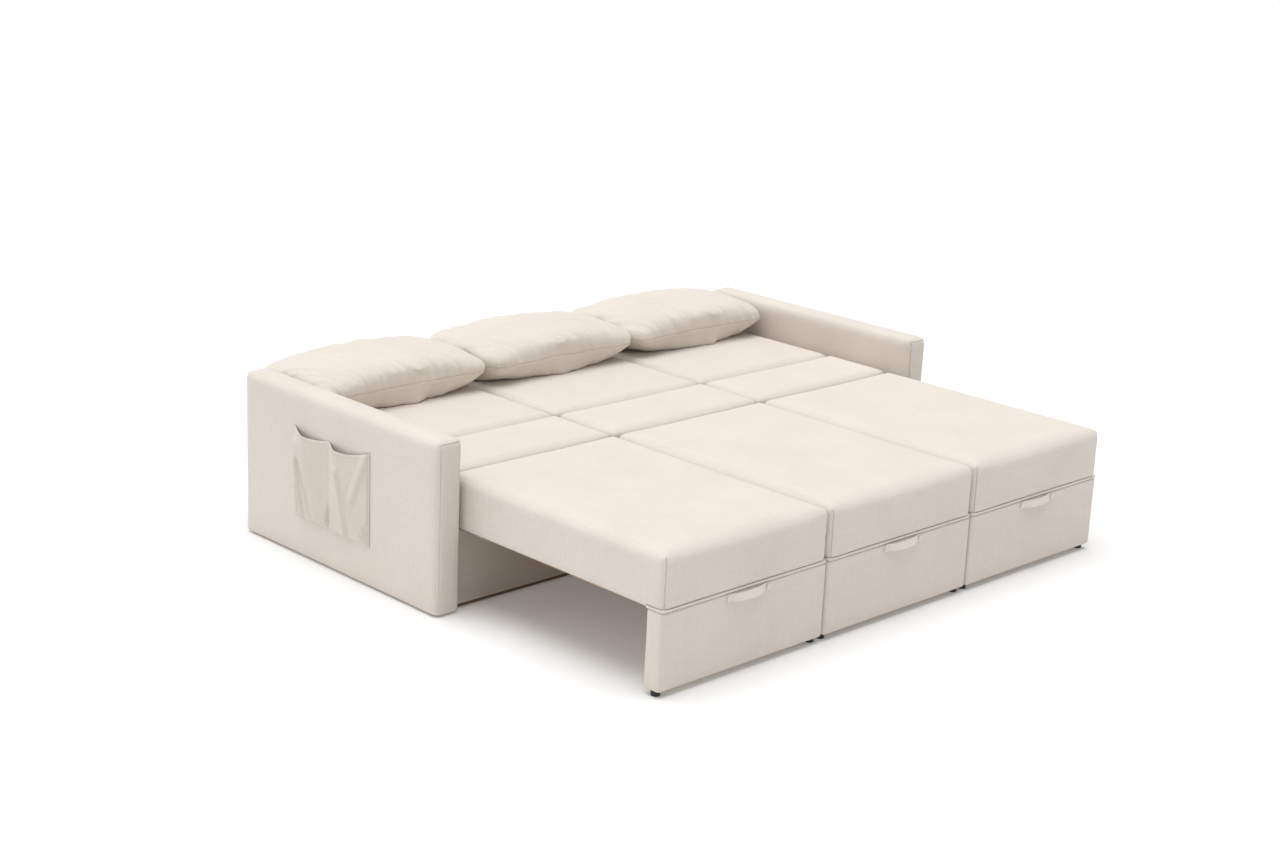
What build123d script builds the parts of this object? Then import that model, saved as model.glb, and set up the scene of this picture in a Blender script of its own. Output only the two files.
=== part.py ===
"""Three-seat sofa bed, opened out: millimetres, +Z up, seats pulled out towards -Y.

The origin is on the floor, midway between the arms and midway along the opened bed,
from the handles to the far side of the pillows.
Each of three units has a seat that slides on rails, a back that is hinged behind the seat,
and a loose pillow that lies on the back.
"""
import os
from math import atan2, cos, radians, sin

from build123d import *

# Overall sizes
overall_width = 2150.0
arm_depth = 950.0
seat_top = 402.0
floor_level = 0.0

# Arms
arm_thickness = 94.0
arm_top = 523.0
glide_height = 5.0
arm_edge = 20.0
arm_padding = 13.0
arm_frame_bar = 55.0
arm_frame_bays = 4
glide_radius = 16.0
glide_inset = 70.0

# Units between the arms
unit_count = 3
arm_gap = 9.0
unit_gap = 6.0
soft_edge = 22.0
soft_corner = 14.0
soft_crown = 4.0
end_turns = (0, 30, 60, 90)

# Seat
seat_length = 874.0
seat_overlap = 80.0
seat_bottom = 239.0
seat_wall = 4.0
seat_end_wall = 22.0
seat_end_crown = 0.5
seat_frame_top = 293.0
frame_bar = 40.0
seat_slats = 5
slat_width = 60.0
slat_thickness = 18.0

# Front panel, welt, handle and feet
panel_thickness = 62.0
panel_bottom = 19.0
panel_edge = 12.0
core_thickness = 18.0
core_inset = 20.0
welt_height = 11.0
welt_proud = 2.0
handle_span = 154.0
handle_flat = 10.0
handle_tail = 15.0
handle_width = 21.0
handle_thickness = 4.0
handle_bow = 16.0
handle_drop = 12.0
button_radius = 9.0
button_height = 4.0
foot_radius = 13.0
foot_inset = 20.0

# Base
rail_running_gap = 0.3
board_thickness = 18.0
front_board_setback = 30.0
rear_board_top = 405.0
ledger_width = 30.0
ledger_height = 40.0
partition_width = 50.0

# Back, hinge and legs
bridge_length = 262.0
back_pad_length = 455.0
pad_gap = 3.0
hinge_gap = 5.0
hinge_behind = 70.0
hinge_below = 70.0
pad_thickness = 60.0
pad_end_crown = 1.0
back_frame_thickness = 45.0
back_frame_inset = 11.0
back_frame_end = 4.0
back_slats = 5
swing_clearance = 3.0
bracket_thickness = 4.0
bracket_side_gap = 2.0
bracket_slot_gap = 1.0
bracket_slot_headroom = 2.0
bracket_eye = 9.5
bracket_arm = 16.0
bracket_tab = 130.0
bracket_tab_height = 45.0
pin_radius = 5.0
pin_clearance = 0.05
pin_length = 28.0
pin_end = 1.0
leg_width = 20.0
leg_depth = 30.0
leg_inset = 25.0
leg_side_inset = 6.0

# Pillow
pillow_side_gap = 2.0
pillow_depth = 385.0
pillow_front_setback = 655.0
pillow_rise = 98.0
pillow_drop = 42.0
pillow_edge = 5.0
pillow_draw_in = 14.0
pillow_rest = 0.55
pillow_taper = 3
pillow_fullness = 0.62
pillow_stations = (-1, -0.93, -0.75, -0.4, 0, 0.4, 0.75, 0.93, 1)
soft_gap = 0.3

# Side pocket on the left arm
pocket_rear = 677.0
pocket_seam = 505.0
pocket_front = 308.0
pocket_bottom = 129.0
pocket_top = 414.0
pocket_bow = 22.0
pocket_bow_low = 7.0
pocket_cloth = 3.0
pocket_backing = 2.0
pocket_hem = 8.0
pocket_dip = 15.0

# Places worked out from the sizes
half_width = overall_width / 2
arm_inner = half_width - arm_thickness
pull_out = seat_length - seat_overlap
bed_length = arm_depth + pull_out
handle_reach = handle_bow + handle_thickness
overall_length = handle_reach + pull_out + pillow_front_setback + pillow_depth
bed_front = handle_reach - overall_length / 2
bed_rear = bed_front + bed_length
arm_front = bed_rear - arm_depth
unit_width = (2 * arm_inner - 2 * arm_gap - (unit_count - 1) * unit_gap) / unit_count
unit_half = unit_width / 2
pillow_width = unit_width - 2 * pillow_side_gap
unit_pitch = unit_width + unit_gap
unit_names = ("left", "middle", "right")
unit_centres = [(i - (unit_count - 1) / 2) * unit_pitch for i in range(unit_count)]

rail_top = seat_bottom - rail_running_gap
seat_rear = bed_front + seat_length
panel_rear = bed_front + panel_thickness
panel_top = seat_bottom
welt_top = panel_top + welt_height
seat_frame_front = panel_rear + seat_wall
back_front = seat_rear + hinge_gap
hinge_y = back_front + hinge_behind
hinge_z = seat_top - hinge_below
pad_bottom = seat_top - pad_thickness
back_bottom = pad_bottom - back_frame_thickness
back_rear = back_front + bridge_length + pad_gap + back_pad_length
rear_board_front = bed_rear - board_thickness
front_board_front = arm_front + front_board_setback
front_board_rear = front_board_front + board_thickness
rail_half = unit_half - seat_wall - bracket_thickness - bracket_side_gap
back_half = unit_half - back_frame_inset


def span(x0, x1, y0, y1, z0, z1):
    middle = Pos((x0 + x1) / 2, (y0 + y1) / 2, (z0 + z1) / 2)
    return middle * Box(x1 - x0, y1 - y0, z1 - z0)


def rod_x(x0, x1, y, z, radius):
    return Pos((x0 + x1) / 2, y, z) * Rot(0, 90, 0) * Cylinder(radius, x1 - x0)


def post(x, y, z0, z1, radius):
    return Pos(x, y, (z0 + z1) / 2) * Cylinder(radius, z1 - z0)


def cushion_outline(y, half, bottom, shoulder, corner, crown):
    turn = corner * (1 - cos(radians(45)))
    edges = [
        Line((-half, y, bottom), (half, y, bottom)),
        Line((half, y, bottom), (half, y, shoulder - corner)),
        ThreePointArc(
            (half, y, shoulder - corner),
            (half - turn, y, shoulder - turn),
            (half - corner, y, shoulder),
        ),
        ThreePointArc((half - corner, y, shoulder), (0, y, shoulder + crown), (corner - half, y, shoulder)),
        ThreePointArc(
            (corner - half, y, shoulder),
            (turn - half, y, shoulder - turn),
            (-half, y, shoulder - corner),
        ),
        Line((-half, y, shoulder - corner), (-half, y, bottom)),
    ]
    return Wire(edges)


def rounded_end(y, inward, bottom, top, swell):
    """The outlines that round one end of an upholstered block, from its face inwards."""
    outlines = []
    for angle in end_turns:
        step = soft_edge * (1 - cos(radians(angle)))
        inset = soft_edge * (1 - sin(radians(angle)))
        crown = soft_crown * swell * (1 + sin(radians(angle))) / 2
        outlines.append(
            cushion_outline(y + inward * step, unit_half - inset, bottom, top - inset, soft_corner, crown)
        )
    return outlines


def box_cushion(y0, y1, bottom, top, swell):
    """An upholstered block with rounded ends and corners and a crowned top.

    swell is the crown's share at the ends of the block, and 1 keeps it level from end to end.
    """
    middle = cushion_outline((y0 + y1) / 2, unit_half, bottom, top, soft_corner, soft_crown)
    front = rounded_end(y0, 1, bottom, top, swell)
    rear = rounded_end(y1, -1, bottom, top, swell)
    return Solid.make_loft(front + [middle] + rear[::-1], ruled=True)


def slatted_frame(half, y0, y1, z0, z1, slats):
    """A timber frame: two side rails, end rails and slats let in flush with its top."""
    frame = span(-half, half, y0, y1, z0, z1)
    frame -= span(frame_bar - half, half - frame_bar, y0 + frame_bar, y1 - frame_bar, z0, z1)
    pitch = (y1 - y0 - frame_bar) / (slats + 1)
    for i in range(slats):
        y = y0 + frame_bar / 2 + (i + 1) * pitch
        frame += span(
            frame_bar - half,
            half - frame_bar,
            y - slat_width / 2,
            y + slat_width / 2,
            z1 - slat_thickness,
            z1,
        )
    return frame


def hinge_bracket(side):
    """A steel plate from the seat rail to the hinge, low enough for the back to turn over it."""
    inner = side * rail_half
    outer = side * (rail_half + bracket_thickness)
    x0, x1 = min(inner, outer), max(inner, outer)
    tab_rear = seat_rear - seat_end_wall
    tab_front = tab_rear - bracket_tab
    plate = rod_x(x0, x1, hinge_y, hinge_z, bracket_eye)
    plate += span(x0, x1, hinge_y - bracket_eye, hinge_y + bracket_eye, seat_bottom, hinge_z)
    plate += span(x0, x1, tab_front, hinge_y, seat_bottom, seat_bottom + bracket_arm)
    plate += span(x0, x1, tab_front, tab_rear, seat_bottom, seat_bottom + bracket_tab_height)
    return plate - rod_x(x0, x1, hinge_y, hinge_z, pin_radius + pin_clearance)


def seat_cushion():
    body = box_cushion(bed_front, seat_rear, seat_bottom, seat_top, seat_end_crown)
    body -= span(-unit_width, unit_width, bed_front - welt_proud, panel_rear, panel_top, welt_top)
    cavity_half = unit_half - seat_wall
    body -= span(
        -cavity_half,
        cavity_half,
        seat_frame_front,
        seat_rear - seat_end_wall,
        seat_bottom,
        seat_frame_top,
    )
    corner = (hinge_behind - soft_edge) ** 2 + (hinge_below - soft_edge) ** 2
    swing = corner**0.5 + soft_edge + swing_clearance
    body -= rod_x(-unit_width, unit_width, hinge_y, hinge_z, swing)
    for side in (-1, 1):
        near = side * (rail_half - bracket_slot_gap)
        far = side * (rail_half + bracket_thickness + bracket_slot_gap)
        body -= span(
            min(near, far),
            max(near, far),
            seat_rear - seat_end_wall,
            hinge_y,
            seat_bottom,
            seat_bottom + bracket_arm + bracket_slot_headroom,
        )
    return body


def seat_frame():
    rear = seat_rear - seat_end_wall
    return slatted_frame(rail_half, seat_frame_front, rear, seat_bottom, seat_frame_top, seat_slats)


def front_panel_cover():
    cover = span(-unit_half, unit_half, bed_front, panel_rear, panel_bottom, panel_top)
    cover = fillet(cover.edges().filter_by(Axis.Z), panel_edge)
    cover = fillet(cover.faces().sort_by(Axis.Z)[0].edges(), panel_edge / 2)
    return cover - front_panel_core()


def front_panel_core():
    middle = (bed_front + panel_rear) / 2
    return span(
        core_inset - unit_half,
        unit_half - core_inset,
        middle - core_thickness / 2,
        middle + core_thickness / 2,
        panel_bottom,
        panel_top - core_inset,
    )


def welt():
    band = span(
        -unit_half - welt_proud,
        unit_half + welt_proud,
        bed_front - welt_proud,
        panel_rear,
        panel_top,
        welt_top,
    )
    return fillet(band.edges().filter_by(Axis.Z), panel_edge)


def handle_strap():
    """A flat strap that lies on the panel under its buttons and bows out between them."""
    end = handle_span / 2 + handle_tail
    flat = handle_span / 2 - handle_flat
    crest = flat / 2
    back = [(-end, 0), (-flat, 0), (-crest, handle_bow), (crest, handle_bow), (flat, 0), (end, 0)]
    face = [(x, bed_front - out) for x, out in back]
    outside = [(x, bed_front - out - handle_thickness) for x, out in reversed(back)]
    outline = make_face(Polyline(*face, *outside, close=True))
    low = panel_top - handle_drop - handle_width / 2
    return Pos(0, 0, low) * extrude(outline, handle_width)


def handle_buttons():
    buttons = []
    y = bed_front - handle_thickness - button_height / 2
    for side in (-1, 1):
        place = Pos(side * handle_span / 2, y, panel_top - handle_drop)
        buttons.append(place * Rot(90, 0, 0) * Cylinder(button_radius, button_height))
    return buttons


def front_feet():
    middle = (bed_front + panel_rear) / 2
    return [
        post(side * (unit_half - foot_inset), middle, floor_level, panel_bottom, foot_radius)
        for side in (-1, 1)
    ]


def back_frame():
    front = back_front + back_frame_end
    rear = back_rear - back_frame_end
    frame = slatted_frame(back_half, front, rear, back_bottom, pad_bottom, back_slats)
    for side in (-1, 1):
        inner = side * (back_half - pin_length)
        outer = side * (back_half + pin_length)
        x0, x1 = min(inner, outer), max(inner, outer)
        frame -= rod_x(x0, x1, hinge_y, hinge_z, pin_radius + pin_clearance)
    return frame


def hinge_pins():
    pins = []
    for side in (-1, 1):
        outer = side * (rail_half + bracket_thickness + pin_end)
        inner = side * (back_half - pin_length)
        pins.append(rod_x(min(inner, outer), max(inner, outer), hinge_y, hinge_z, pin_radius))
    return pins


def back_legs():
    legs = []
    for side in (-1, 1):
        outer = side * (unit_half - leg_side_inset)
        inner = side * (unit_half - leg_side_inset - leg_width)
        rear = back_rear - leg_inset
        legs.append(
            span(
                min(inner, outer),
                max(inner, outer),
                rear - leg_depth,
                rear,
                rail_top + rail_running_gap,
                back_bottom,
            )
        )
    return legs


def bridge_pad():
    return box_cushion(back_front, back_front + bridge_length, pad_bottom, seat_top, pad_end_crown)


def back_pad():
    return box_cushion(back_rear - back_pad_length, back_rear, pad_bottom, seat_top, pad_end_crown)


def pillow_outline(x, middle, seam, half, rise, drop):
    """The pillow's section: an arched top, and an underside that lies flat between two rounded flanks."""
    rest = half * pillow_rest
    radius = ((half - rest) ** 2 + drop**2) / (2 * drop)
    turn = atan2(half - rest, radius - drop) / 2
    flank = rest + radius * sin(turn)
    low = seam - drop
    bend = low + radius * (1 - cos(turn))
    edges = [
        ThreePointArc((x, middle + half, seam), (x, middle, seam + rise), (x, middle - half, seam)),
        ThreePointArc((x, middle - half, seam), (x, middle - flank, bend), (x, middle - rest, low)),
        Line((x, middle - rest, low), (x, middle + rest, low)),
        ThreePointArc((x, middle + rest, low), (x, middle + flank, bend), (x, middle + half, seam)),
    ]
    return Wire(edges)


def pillow():
    """A stuffed pillow: thin at its seams, full in the middle, its long sides drawn in between the corners."""
    middle = arm_front + pillow_front_setback + pillow_depth / 2
    seam = seat_top + soft_crown + soft_gap + pillow_drop
    outlines = []
    for place in pillow_stations:
        fullness = (1 - abs(place) ** pillow_taper) ** pillow_fullness
        half = pillow_depth / 2 - pillow_draw_in * (1 - place**2)
        rise = pillow_edge + (pillow_rise - pillow_edge) * fullness
        drop = pillow_edge + (pillow_drop - pillow_edge) * fullness
        outlines.append(pillow_outline(place * pillow_width / 2, middle, seam, half, rise, drop))
    return Solid.make_loft(outlines, ruled=False)


def arm_frame():
    """Upright bars between a top and a bottom bar, inside the padding."""
    front = arm_front + arm_padding
    rear = bed_rear - arm_padding
    x0 = arm_inner + arm_padding
    x1 = half_width - arm_padding
    top = arm_top - arm_padding
    frame = span(x0, x1, front, rear, glide_height, top)
    bay = (rear - front - (arm_frame_bays + 1) * arm_frame_bar) / arm_frame_bays
    middle = (glide_height + top) / 2
    for i in range(arm_frame_bays):
        y0 = front + arm_frame_bar + i * (bay + arm_frame_bar)
        for z0, z1 in (
            (glide_height + arm_frame_bar, middle - arm_frame_bar / 2),
            (middle + arm_frame_bar / 2, top - arm_frame_bar),
        ):
            frame -= span(x0, x1, y0, y0 + bay, z0, z1)
    return frame


def arm_cover():
    cover = span(arm_inner, half_width, arm_front, bed_rear, glide_height, arm_top)
    bottom = cover.faces().sort_by(Axis.Z)[0].edges()
    rounded = [e for e in cover.edges() if e not in bottom]
    cover = fillet(rounded, arm_edge)
    cavity = span(
        arm_inner + arm_padding,
        half_width - arm_padding,
        arm_front + arm_padding,
        bed_rear - arm_padding,
        glide_height,
        arm_top - arm_padding,
    )
    return cover - cavity


def floor_glides():
    glides = []
    for side in (-1, 1):
        x = side * (half_width - arm_thickness / 2)
        for y in (arm_front + glide_inset, bed_rear - glide_inset):
            glides.append(post(x, y, floor_level, glide_height, glide_radius))
    return glides


def seat_rails():
    """A ledger on each arm, and a partition under each joint between two units."""
    y0, y1 = front_board_rear, rear_board_front
    rails = []
    for side in (-1, 1):
        outer = side * arm_inner
        inner = side * (arm_inner - ledger_width)
        rails.append(span(min(inner, outer), max(inner, outer), y0, y1, rail_top - ledger_height, rail_top))
    for i in range(unit_count - 1):
        x = (unit_centres[i] + unit_centres[i + 1]) / 2
        rails.append(
            span(x - partition_width / 2, x + partition_width / 2, y0, y1, glide_height, rail_top)
        )
    return rails


def front_board():
    return span(-arm_inner, arm_inner, front_board_front, front_board_rear, glide_height, rail_top)


def rear_board():
    return span(-arm_inner, arm_inner, rear_board_front, bed_rear, glide_height, rear_board_top)


def pocket_outline(y0, y1, z, bow, back):
    """The pocket's section at one height: straight along the arm, bowed on its outer side."""
    middle = (y0 + y1) / 2
    edges = [
        Line((-back, y0, z), (-back, y1, z)),
        ThreePointArc((-back, y1, z), (-bow, middle, z), (-back, y0, z)),
    ]
    return Wire(edges)


def pocket_bag(y0, y1):
    """One compartment: cloth that bows out more towards its mouth, which dips in the middle."""
    rise = (pocket_bow - pocket_bow_low) / (pocket_top - pocket_bottom)
    outer = Solid.make_loft(
        [
            pocket_outline(y0, y1, pocket_bottom, pocket_bow_low, 0),
            pocket_outline(y0, y1, pocket_top, pocket_bow, 0),
        ],
        ruled=True,
    )
    low = pocket_bottom + pocket_hem
    low_bow = pocket_bow_low + rise * pocket_hem - pocket_cloth
    inner = Solid.make_loft(
        [
            pocket_outline(y0 + pocket_hem, y1 - pocket_hem, low, low_bow, pocket_backing),
            pocket_outline(
                y0 + pocket_hem, y1 - pocket_hem, pocket_top, pocket_bow - pocket_cloth, pocket_backing
            ),
        ],
        ruled=True,
    )
    chord = (y1 - y0) / 2
    radius = (chord**2 + pocket_dip**2) / (2 * pocket_dip)
    scoop = rod_x(
        -pocket_bow - pocket_hem, -pocket_backing, (y0 + y1) / 2, pocket_top + radius - pocket_dip, radius
    )
    return outer - inner - scoop


def side_pocket():
    rear_bag = pocket_bag(arm_front + pocket_seam, arm_front + pocket_rear)
    front_bag = pocket_bag(arm_front + pocket_front, arm_front + pocket_seam)
    seam = arm_front + pocket_seam
    strip = span(-pocket_cloth, 0, seam - pocket_hem, seam + pocket_hem, pocket_bottom, pocket_top)
    return Pos(-half_width, 0, 0) * (rear_bag + front_bag + strip)


def save(name, solids):
    """Writes one node: a single solid, or a group of separate ones."""
    shape = Compound(children=list(solids)) if isinstance(solids, list) else solids
    export_step(shape, os.path.join("parts", name + ".step"))


os.makedirs("parts", exist_ok=True)

# The fixed base
for label, piece in (("arm_frame", arm_frame()), ("arm_cover", arm_cover())):
    save("right_" + label, piece)
    save("left_" + label, mirror(piece, about=Plane.YZ))
save("side_pocket", side_pocket())
save("front_board", front_board())
save("rear_board", rear_board())
save("seat_rails", seat_rails())
save("floor_glides", floor_glides())

# The three units
unit_pieces = {
    "seat_cushion": seat_cushion(),
    "seat_frame": seat_frame(),
    "front_panel_cover": front_panel_cover(),
    "front_panel_core": front_panel_core(),
    "welt": welt(),
    "handle_strap": handle_strap(),
    "handle_buttons": handle_buttons(),
    "front_feet": front_feet(),
    "hinge_brackets": [hinge_bracket(-1), hinge_bracket(1)],
    "back_frame": back_frame(),
    "bridge_pad": bridge_pad(),
    "back_pad": back_pad(),
    "hinge_pins": hinge_pins(),
    "back_legs": back_legs(),
    "pillow": pillow(),
}
for name, x in zip(unit_names, unit_centres):
    for label, piece in unit_pieces.items():
        if isinstance(piece, list):
            save(name + "_" + label, [Pos(x, 0, 0) * p for p in piece])
        else:
            save(name + "_" + label, Pos(x, 0, 0) * piece)
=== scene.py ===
import math
from bisect import bisect
from contextlib import contextmanager

import bmesh
import bpy
from mathutils import Matrix, Quaternion, Vector, kdtree, noise


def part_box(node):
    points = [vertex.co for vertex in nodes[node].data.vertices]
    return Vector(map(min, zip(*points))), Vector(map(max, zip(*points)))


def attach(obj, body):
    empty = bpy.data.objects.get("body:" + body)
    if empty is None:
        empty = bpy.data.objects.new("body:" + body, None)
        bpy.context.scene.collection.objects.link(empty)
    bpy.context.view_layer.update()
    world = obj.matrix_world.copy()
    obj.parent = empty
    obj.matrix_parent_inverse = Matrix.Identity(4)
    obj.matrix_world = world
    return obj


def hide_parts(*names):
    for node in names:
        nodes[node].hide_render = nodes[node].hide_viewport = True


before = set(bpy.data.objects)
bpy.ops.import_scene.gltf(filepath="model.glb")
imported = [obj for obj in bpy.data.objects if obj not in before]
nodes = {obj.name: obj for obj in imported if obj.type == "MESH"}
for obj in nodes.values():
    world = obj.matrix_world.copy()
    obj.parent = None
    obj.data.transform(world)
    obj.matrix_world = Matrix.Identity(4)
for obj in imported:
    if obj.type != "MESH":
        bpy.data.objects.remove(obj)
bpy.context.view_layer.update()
scene = bpy.context.scene
units = ("left", "middle", "right")
print("frame loaded:", len(nodes), "nodes")


# Working in edit mode

def deselectAll():
    bpy.ops.object.select_all(action="DESELECT")


def makeActive(obj):
    deselectAll()
    obj.select_set(True)
    bpy.context.view_layer.objects.active = obj


@contextmanager
def editing(obj):
    makeActive(obj)
    bpy.ops.object.mode_set(mode="EDIT")
    yield
    bpy.ops.object.mode_set(mode="OBJECT")


def pick(obj, kind, test):  # selects by centre and normal; an edge's normal is its direction
    bpy.ops.mesh.select_mode(type=kind)
    bpy.ops.mesh.select_all(action="DESELECT")
    mesh = bmesh.from_edit_mesh(obj.data)
    if kind == "VERT":
        found = [v for v in mesh.verts if test(v.co, v.normal)]
    elif kind == "EDGE":
        ends = [(e, e.verts[0].co, e.verts[1].co) for e in mesh.edges]
        found = [e for e, a, b in ends if test((a + b) / 2, (b - a).normalized())]
    else:
        found = [f for f in mesh.faces if test(f.calc_center_median(), f.normal)]
    for part in found:
        part.select_set(True)
    mesh.select_flush_mode()
    bmesh.update_edit_mesh(obj.data)


def applyModifier(obj, name, kind, **settings):
    makeActive(obj)
    added = obj.modifiers.new(name, kind)
    for key, value in settings.items():
        setattr(added, key, value)
    bpy.ops.object.modifier_apply(modifier=name)


def subdivideSmooth(obj, levels):
    applyModifier(obj, "smoother", "SUBSURF", levels=levels, render_levels=levels)


def shadeSmooth(obj, degrees):
    makeActive(obj)
    bpy.ops.object.shade_smooth_by_angle(angle=math.radians(degrees))


def applyPlace(obj):
    makeActive(obj)
    bpy.ops.object.transform_apply(location=True, rotation=True, scale=True)


def reshape(obj, move):
    for vert in obj.data.vertices:
        vert.co = move(vert.co)
    obj.data.update()


def setPlaces(obj, places):
    for vert, place in zip(obj.data.vertices, places):
        vert.co = place
    obj.data.update()


def faceOutwards(obj):
    with editing(obj):
        bpy.ops.mesh.select_all(action="SELECT")
        bpy.ops.mesh.normals_make_consistent(inside=False)


def turnInsideOut(obj):
    with editing(obj):
        bpy.ops.mesh.select_all(action="SELECT")
        bpy.ops.mesh.flip_normals()


def addGrid(name, cells, size):
    deselectAll()
    bpy.ops.mesh.primitive_grid_add(x_subdivisions=cells[0], y_subdivisions=cells[1], size=size)
    grid = bpy.context.object
    grid.name = name
    return grid


def addBlock(name, low, high):
    deselectAll()
    bpy.ops.mesh.primitive_cube_add(size=1, location=(low + high) / 2)
    block = bpy.context.object
    block.name = name
    block.scale = high - low
    applyPlace(block)
    return block


def roundEdges(block, test, radius, steps):
    with editing(block):
        pick(block, "EDGE", test)
        bpy.ops.mesh.bevel(offset=radius, segments=steps, affect="EDGES")


def cutBlock(obj, low, high):  # takes a box away from a finished mesh
    cutter = addBlock("cutter", low, high)
    applyModifier(obj, "cut", "BOOLEAN", object=cutter, operation="DIFFERENCE", solver="EXACT")
    bpy.data.objects.remove(cutter)


def copyPiece(source, name, shift):
    copied = source.copy()
    copied.data = source.data.copy()
    copied.name = name
    scene.collection.objects.link(copied)
    copied.data.transform(Matrix.Translation(shift))
    return copied


def copyToUnits(first, node, label):  # the left unit's piece, and a copy of it in each other unit
    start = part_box(units[0] + "_" + node)[0]
    shifts = [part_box(unit + "_" + node)[0] - start for unit in units[1:]]
    return [first] + [
        copyPiece(first, unit + "_" + label, shift) for unit, shift in zip(units[1:], shifts)
    ]


def joinPieces(pieces, name):
    deselectAll()
    for piece in pieces:
        piece.select_set(True)
    bpy.context.view_layer.objects.active = pieces[0]
    bpy.ops.object.join()
    pieces[0].name = name
    return pieces[0]


def placePiece(obj, body, finish, slotName, *stoodFor):
    obj.data.materials.clear()
    obj.data.materials.append(finish)
    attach(obj, body)
    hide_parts(*stoodFor)


def smoothStep(value):
    share = min(1.0, max(0.0, value))
    return share * share * (3 - 2 * share)


# Shader sums and nodes

class Wire:  # one output socket, with the sums that the finishes use
    def __init__(self, finish, socket):
        self.finish = finish
        self.socket = socket

    def math(self, operation, first, second):
        return self.finish.node("ShaderNodeMath", {"operation": operation}, {0: first, 1: second})

    def __add__(self, other):
        return self.math("ADD", self, other)

    def __mul__(self, other):
        return self.math("MULTIPLY", self, other)

    __radd__ = __add__
    __rmul__ = __mul__


class Finish:
    def __init__(self, name, roughness, **constants):
        self.material = bpy.data.materials.new(name)
        self.material.use_nodes = True
        self.tree = self.material.node_tree
        self.shader = self.tree.nodes["Principled BSDF"]
        self.shader.inputs["Roughness"].default_value = roughness
        for key, value in constants.items():
            self.shader.inputs[key.replace("_", " ")].default_value = value

    def node(self, kind, settings, inputs, output=0):
        made = self.tree.nodes.new(kind)
        for key, value in settings.items():
            setattr(made, key, value)
        for key, value in inputs.items():
            if isinstance(value, Wire):
                self.tree.links.new(value.socket, made.inputs[key])
            else:
                made.inputs[key].default_value = value
        return Wire(self, made.outputs[output])

    def place(self, scale):  # object coordinates, stretched
        spot = self.node("ShaderNodeTexCoord", {}, {}, "Object")
        return self.node("ShaderNodeMapping", {}, {"Vector": spot, "Scale": scale})

    def grain(self, scale, detail):
        return self.node(
            "ShaderNodeTexNoise", {}, {"Vector": self.place(scale), "Scale": 1.0, "Detail": detail}
        )

    def ramp(self, value, low, high):  # 0 to 1 between two values
        return self.node("ShaderNodeMapRange", {}, {"Value": value, "From Min": low, "From Max": high})

    def mix(self, share, first, second):
        return self.node(
            "ShaderNodeMix", {"data_type": "RGBA"}, {"Factor": share, 6: first, 7: second}, 2
        )

    def feed(self, name, value):
        self.tree.links.new(value.socket, self.shader.inputs[name])

    def bump(self, height, strength, depth):
        self.feed(
            "Normal",
            self.node("ShaderNodeBump", {}, {"Height": height, "Strength": strength, "Distance": depth}),
        )


def tone(red, green, blue):
    return (red, green, blue, 1.0)


weave = {
    "fine": (950.0, 60.0), "heather": (330.0, 16.0),  # yarns, and slubs along a yarn, in a metre
    "cloud": 5.0,
    "fineShare": 0.45, "heatherShare": 0.4, "cloudShare": 0.15,  # of the colour
    "darkest": 0.34, "lightest": 0.66,
    "fineHeight": 0.6, "heatherHeight": 0.4,
    "bumpStrength": 0.35, "bumpDepth": 0.0012,
    "creases": (26.0, 15.0, 26.0), "creaseLow": 0.35, "creaseHigh": 0.75,
}


def linen(name, dark, light, creases=0.0):
    cloth = Finish(name, 0.92, Sheen_Weight=0.12, Sheen_Roughness=0.6, Specular_IOR_Level=0.25)
    yarns = []
    for yarn, slub in (weave["fine"], weave["heather"]):
        threads = [cloth.grain(scale, 1.0) for scale in (
            (slub, yarn, yarn), (yarn, slub, yarn), (yarn, yarn, slub)
        )]
        yarns.append((threads[0] + threads[1] + threads[2]) * (1 / 3))
    fine, heather = yarns
    cloud = cloth.grain((weave["cloud"],) * 3, 2.0)
    shade = fine * weave["fineShare"] + heather * weave["heatherShare"] + cloud * weave["cloudShare"]
    share = cloth.ramp(shade, weave["darkest"], weave["lightest"])
    cloth.feed("Base Color", cloth.mix(share, dark, light))
    height = fine * weave["fineHeight"] + heather * weave["heatherHeight"]
    if creases:
        crumple = cloth.grain(weave["creases"], 3.0)
        height = height + cloth.ramp(crumple, weave["creaseLow"], weave["creaseHigh"]) * creases
    cloth.bump(height, weave["bumpStrength"], weave["bumpDepth"])
    return cloth.material


woodGrain = {
    "rings": (90.0, 4.0, 90.0), "pores": (900.0, 30.0, 900.0),  # in a metre along X, Y and Z
    "ringShare": 0.75, "poreShare": 0.25, "darkest": 0.32, "lightest": 0.68,
    "bumpStrength": 0.2, "bumpDepth": 0.0006,
}


def timber(name, dark, light):
    wood = Finish(name, 0.7)
    rings = wood.grain(woodGrain["rings"], 4.0)
    pores = wood.grain(woodGrain["pores"], 2.0)
    shade = rings * woodGrain["ringShare"] + pores * woodGrain["poreShare"]
    share = wood.ramp(shade, woodGrain["darkest"], woodGrain["lightest"])
    wood.feed("Base Color", wood.mix(share, dark, light))
    wood.bump(pores, woodGrain["bumpStrength"], woodGrain["bumpDepth"])
    return wood.material


flake = {
    "count": 260.0, "patches": 40.0, "flakeShare": 0.7, "patchShare": 0.3,
    "bumpStrength": 0.25, "bumpDepth": 0.0005,
}


def chips(name, dark, light):
    board = Finish(name, 0.8)
    flakes = board.node(
        "ShaderNodeTexVoronoi", {}, {"Vector": board.place((1.0, 1.0, 1.0)), "Scale": flake["count"]}, "Color"
    )
    grey = board.node("ShaderNodeRGBToBW", {}, {"Color": flakes})
    patches = board.grain((flake["patches"],) * 3, 2.0)
    share = grey * flake["flakeShare"] + patches * flake["patchShare"]
    board.feed("Base Color", board.mix(share, dark, light))
    board.bump(grey, flake["bumpStrength"], flake["bumpDepth"])
    return board.material


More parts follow.
